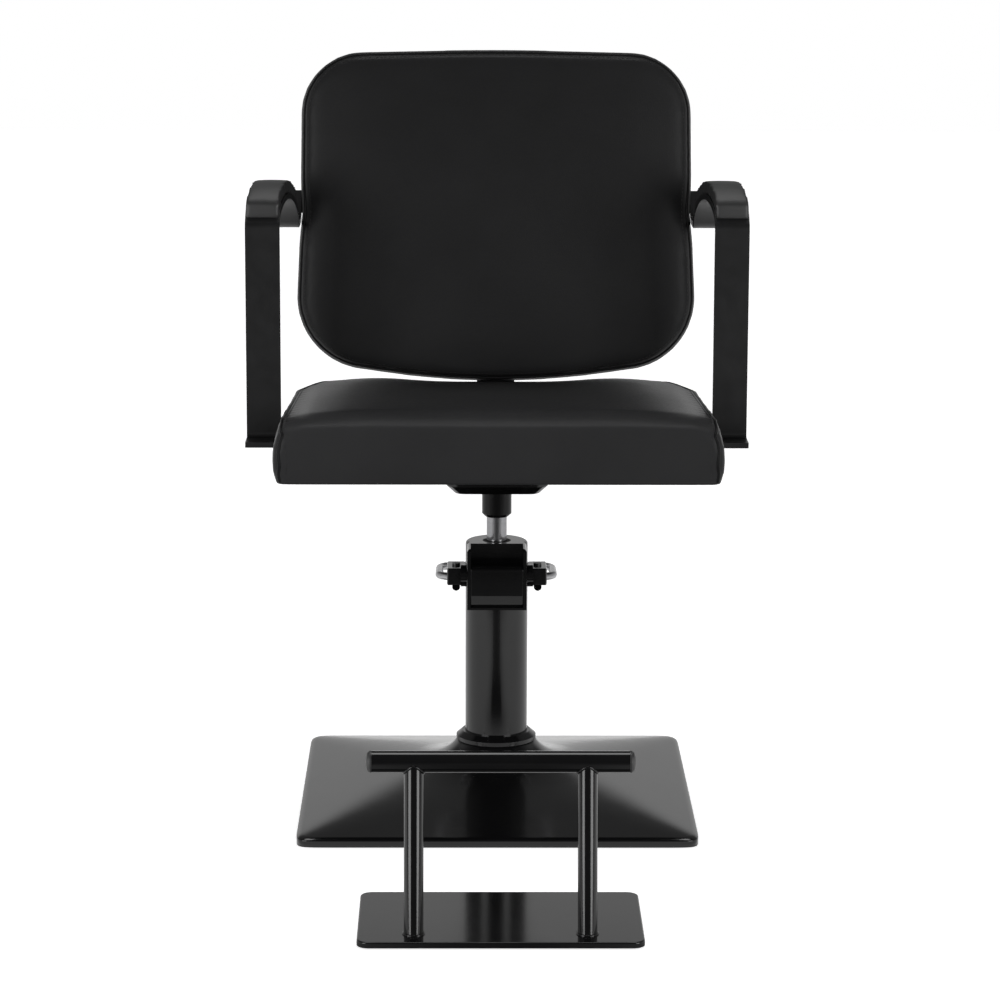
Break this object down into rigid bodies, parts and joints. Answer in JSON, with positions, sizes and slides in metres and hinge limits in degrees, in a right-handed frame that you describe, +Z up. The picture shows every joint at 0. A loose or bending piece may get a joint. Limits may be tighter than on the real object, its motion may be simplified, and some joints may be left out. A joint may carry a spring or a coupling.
{
  "type": "hydraulic salon chair",
  "caption": "Black upholstered salon chair on a square pyramid base with a hydraulic foot pump, flat steel arms with moulded pads, and a separate footrest.",
  "frame": {"origin": "on the floor under the pump column's axis, at the underside of the base's middle pad", "axes": "+Z up, -Y the way the sitter faces, +X to the sitter's left"},
  "size_m": [0.642, 0.9364, 0.9471],
  "materials": {
    "black_upholstery": "satin",
    "black_enamel": "satin",
    "black_rubber": "matte",
    "black_moulding": "matte",
    "bright_steel": "polished",
    "plain_steel": "satin",
    "plywood": "matte",
    "bearing_bronze": "satin"
  },
  "bodies": {
    "base": {"base_cover": "black_enamel", "base_plate": "black_enamel", "collar_ring": "black_enamel", "flange_bolts": "plain_steel", "floor_pads": "black_rubber", "foot_valve": "plain_steel", "front_cover": "black_enamel", "guide_bush": "bearing_bronze", "lift_tube": "plain_steel", "plunger_barrel": "plain_steel", "plunger_spring": "plain_steel", "pump_cylinder": "black_enamel", "pump_flange": "plain_steel", "pump_head": "black_enamel", "wiper_seal": "black_rubber"},
    "ram": {"piston_rod": "bright_steel", "ram_piston": "plain_steel", "piston_seals": "black_rubber", "thrust_washer": "bearing_bronze"},
    "pedal": {"pedal_shaft": "plain_steel", "left_lever_arm": "black_enamel", "right_lever_arm": "black_enamel", "rocker_cam": "plain_steel", "clamp_screws": "plain_steel", "foot_pedal": "bright_steel", "shaft_spacers": "plain_steel"},
    "plunger": {"pump_plunger": "plain_steel"},
    "seat": {"seat_hub": "black_enamel", "seat_plate": "black_enamel", "seat_plate_bolts": "plain_steel", "seat_board": "plywood", "seat_cushion": "black_upholstery", "left_arm_band": "black_enamel", "right_arm_band": "black_enamel", "left_arm_pad": "black_moulding", "right_arm_pad": "black_moulding", "arm_pad_screws": "plain_steel", "arm_back_bolts": "plain_steel", "left_arm_rail": "black_enamel", "right_arm_rail": "black_enamel", "arm_rail_bolts": "plain_steel", "back_cushion": "black_upholstery", "back_board": "plywood", "back_cover": "black_upholstery", "back_bar": "black_enamel", "back_bar_bolts": "plain_steel", "back_bar_seat_bolts": "plain_steel"},
    "footrest": {"footrest_plate": "black_enamel", "footrest_pads": "black_rubber", "left_footrest_upright": "black_enamel", "right_footrest_upright": "black_enamel", "footrest_bar": "black_enamel", "footrest_bar_caps": "black_moulding"}
  },
  "joints": [
    {"name": "seat_lift", "type": "slide", "parent": "base", "child": "ram", "axis": [0, 0, 1], "range_m": [0, 0.14]},
    {"name": "seat_swivel", "type": "hinge", "parent": "ram", "child": "seat", "pos_m": [0, 0, 0.39], "axis": [0, 0, 1], "continuous": true},
    {"name": "pedal_press", "type": "hinge", "parent": "base", "child": "pedal", "pos_m": [0, -0.044, 0.3], "axis": [-1, 0, 0], "range_deg": [0, 22], "stiffness_Nm_per_rad": 3, "springref_deg": -22.92},
    {"name": "plunger_stroke", "type": "slide", "parent": "base", "child": "plunger", "axis": [0, 0, -1], "range_m": [0, 0.00545], "deforming": ["plunger_spring"]},
    {"name": "footrest_push", "type": "slide", "parent": "base", "child": "footrest", "axis": [0, -1, 0], "range_m": [-0.15, 0.2]}
  ],
  "couplings": [
    {"joint": "plunger_stroke", "follows": "pedal_press", "m_per_rad": 0.0142}
  ]
}
